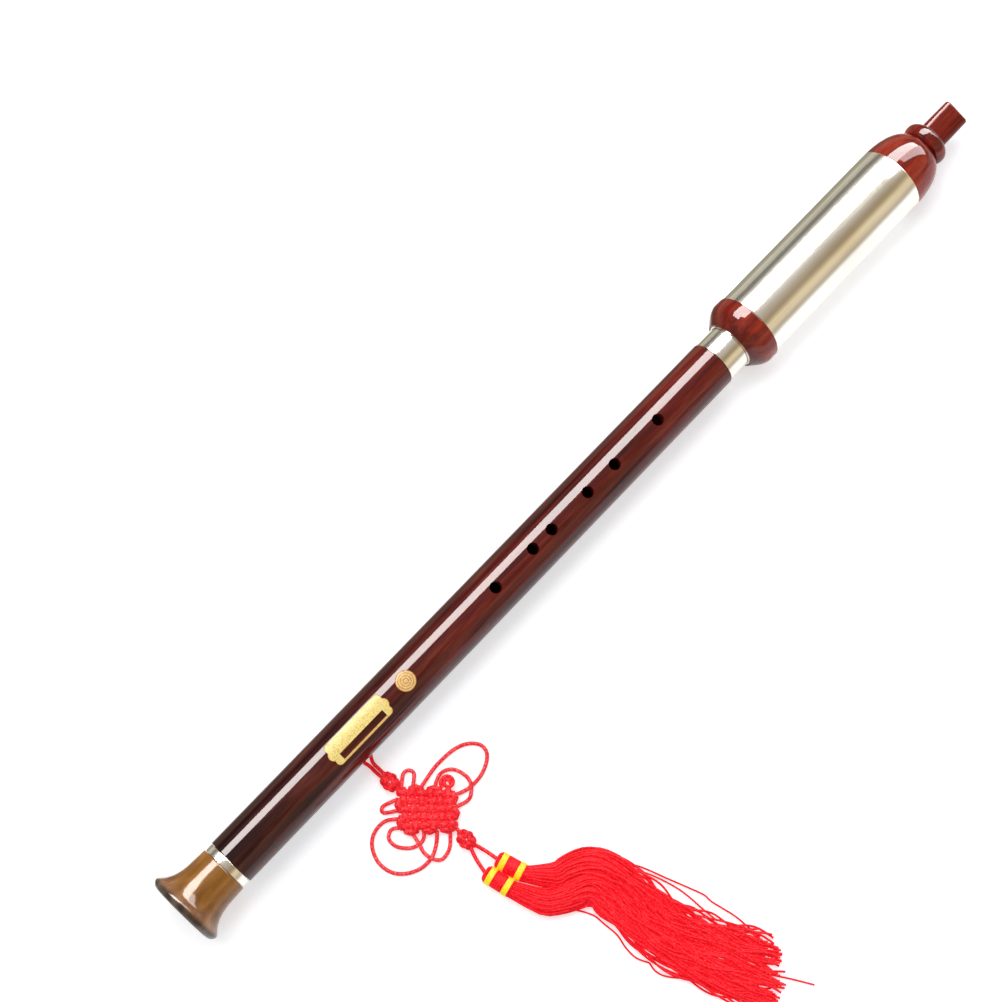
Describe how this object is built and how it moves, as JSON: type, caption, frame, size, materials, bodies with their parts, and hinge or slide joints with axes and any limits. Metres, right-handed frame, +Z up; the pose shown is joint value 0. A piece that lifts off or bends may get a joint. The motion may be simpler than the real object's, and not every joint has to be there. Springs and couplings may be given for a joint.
{
  "type": "bawu",
  "caption": "Bawu, a free-reed pipe of lacquered wood with a horn bell, metal wind barrel, tuning slide, turning beak mouthpiece and a red knotted tassel.",
  "frame": {"origin": "on the table under the middle of the pipe's length", "axes": "+X along the pipe towards the mouthpiece, +Z up, finger holes up and 9 degrees towards -Y, the tassel laid out towards -Y"},
  "size_m": [0.576, 0.2583, 0.04],
  "materials": {
    "lacquered_wood": "glossy clear lacquer over dark red-brown streaked wood",
    "horn": "polished amber-brown horn",
    "nickel_silver": "satin polish, slightly warm",
    "reed_brass": "bare sheet",
    "binding_thread": "waxed thread",
    "cork": "bare cork",
    "red_cord": "satin cord and thread",
    "yellow_thread": "wound thread"
  },
  "bodies": {
    "lower_joint": {"body_tube": "lacquered_wood", "tenon_sleeve": "nickel_silver", "bell_ferrule": "nickel_silver", "horn_bell": "horn", "hanging_cord": "red_cord", "upper_button_knot": "red_cord", "endless_knot": "red_cord", "ear_small_upper": "red_cord", "ear_big_upper": "red_cord", "ear_side_upper": "red_cord", "ear_small_left": "red_cord", "ear_big_lower": "red_cord", "ear_side_lower": "red_cord", "ear_bottom": "red_cord", "knot_neck_cord": "red_cord", "lower_button_knot": "red_cord", "tassel_cord_a": "red_cord", "tassel_cord_b": "red_cord", "tassel_head_a": "red_cord", "tassel_head_b": "red_cord", "tassel_band_a1": "yellow_thread", "tassel_band_a2": "yellow_thread", "tassel_band_b1": "yellow_thread", "tassel_band_b2": "yellow_thread", "tassel_threads_a": "red_cord", "tassel_threads_b": "red_cord"},
    "head_joint": {"head_collar": "lacquered_wood", "socket_liner": "nickel_silver", "wind_barrel": "nickel_silver", "barrel_dome": "lacquered_wood", "reed_tube": "lacquered_wood", "reed_tube_stopper": "cork", "reed_plate": "reed_brass", "reed_binding_1": "binding_thread", "reed_binding_2": "binding_thread"},
    "mouthpiece_body": {"mouthpiece": "lacquered_wood", "mouthpiece_cork": "cork"}
  },
  "joints": [
    {"name": "tuning_slide", "type": "slide", "parent": "lower_joint", "child": "head_joint", "axis": [1, 0, 0], "range_m": [-0.009, 0.012]},
    {"name": "mouthpiece_turn", "type": "hinge", "parent": "head_joint", "child": "mouthpiece_body", "pos_m": [0.2575, 0, 0.02], "axis": [1, 0, 0], "continuous": true}
  ]
}
